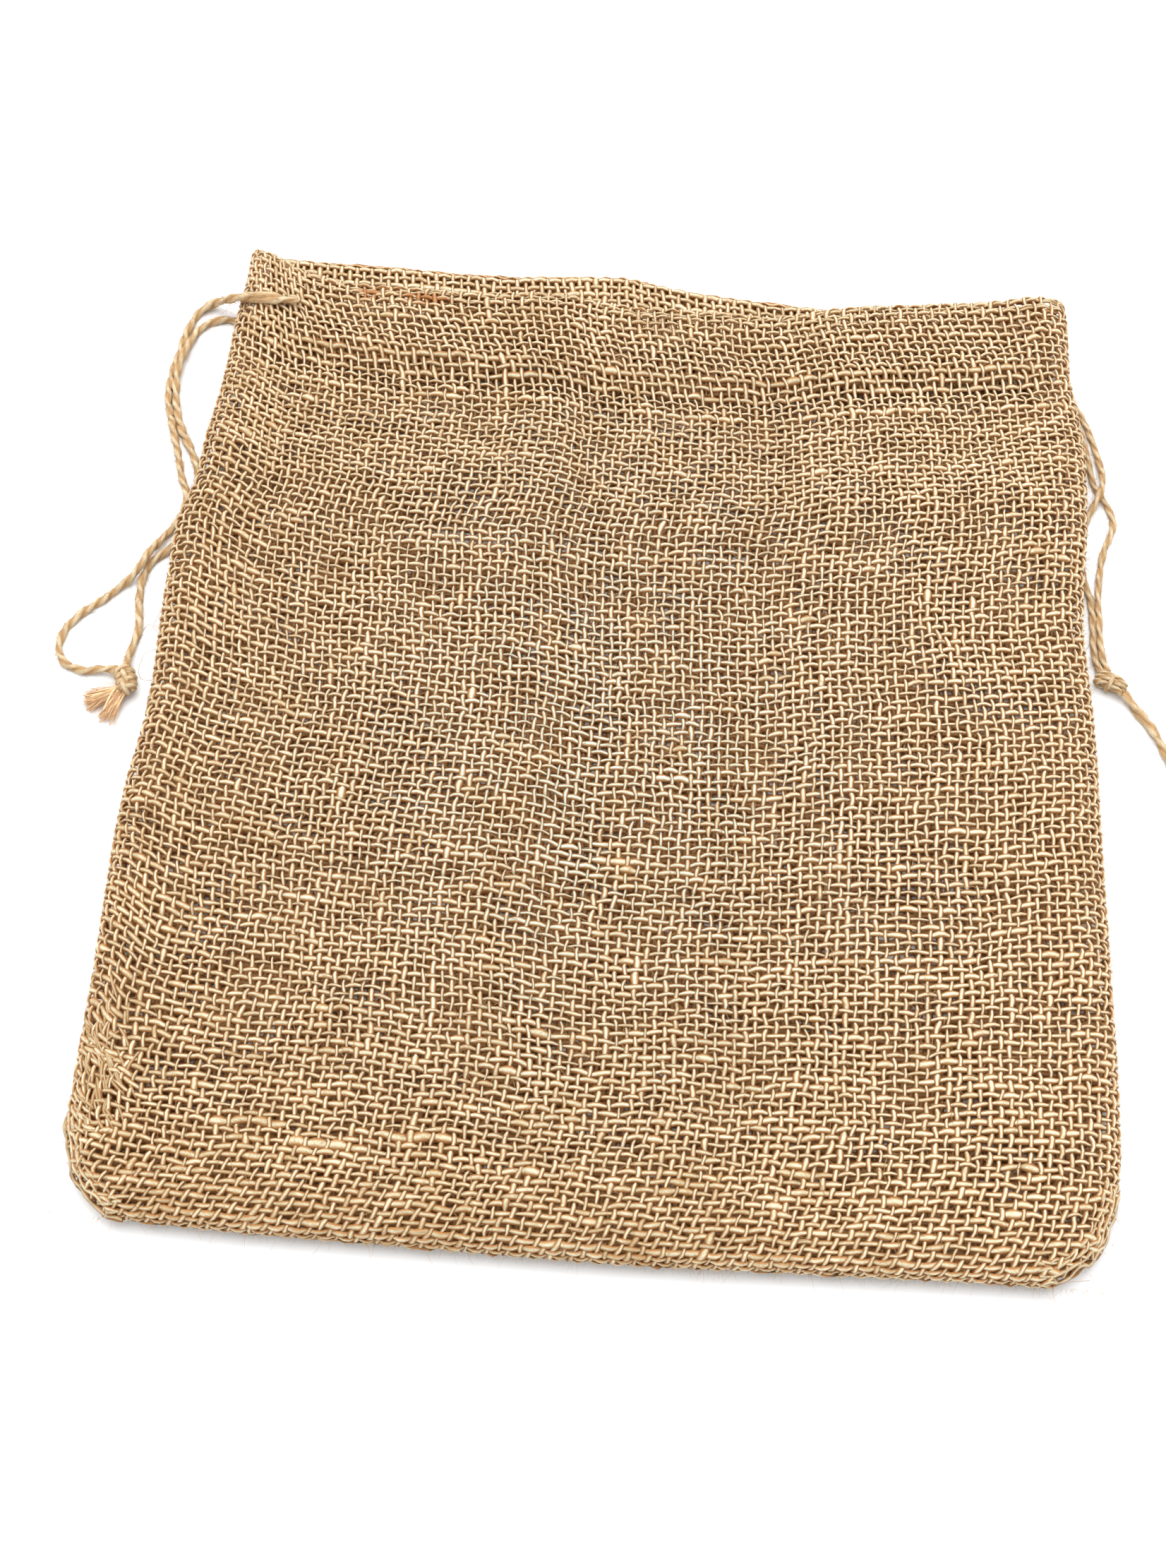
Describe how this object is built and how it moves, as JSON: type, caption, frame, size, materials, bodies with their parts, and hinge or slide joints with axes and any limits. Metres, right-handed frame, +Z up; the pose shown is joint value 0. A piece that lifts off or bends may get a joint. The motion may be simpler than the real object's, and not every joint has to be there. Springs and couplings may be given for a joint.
{
  "type": "jute sack",
  "caption": "Empty woven jute drawstring sack lying flat with its hemmed mouth a little open, twine strands out at both sides, each pair tied in a knot.",
  "frame": {"origin": "on the floor, below the middle of the sack without its strings", "axes": "+X across the sack to the right, +Y from the bottom seam towards the mouth, +Z up from the floor the sack lies on"},
  "size_m": [0.3046, 0.3027, 0.0135],
  "materials": {
    "jute_cloth": "open plain weave of undyed jute yarn, matt, with loose fibres",
    "jute_twine": "two-ply undyed jute twine, matt and hairy"
  },
  "bodies": {
    "root": {"front_panel": "jute_cloth", "back_panel": "jute_cloth", "left_strand_a": "jute_twine", "left_strand_b": "jute_twine", "left_knot": "jute_twine", "left_tassel": "jute_twine", "right_strand_c": "jute_twine", "right_strand_d": "jute_twine", "right_knot": "jute_twine", "right_tail": "jute_twine"}
  },
  "joints": []
}
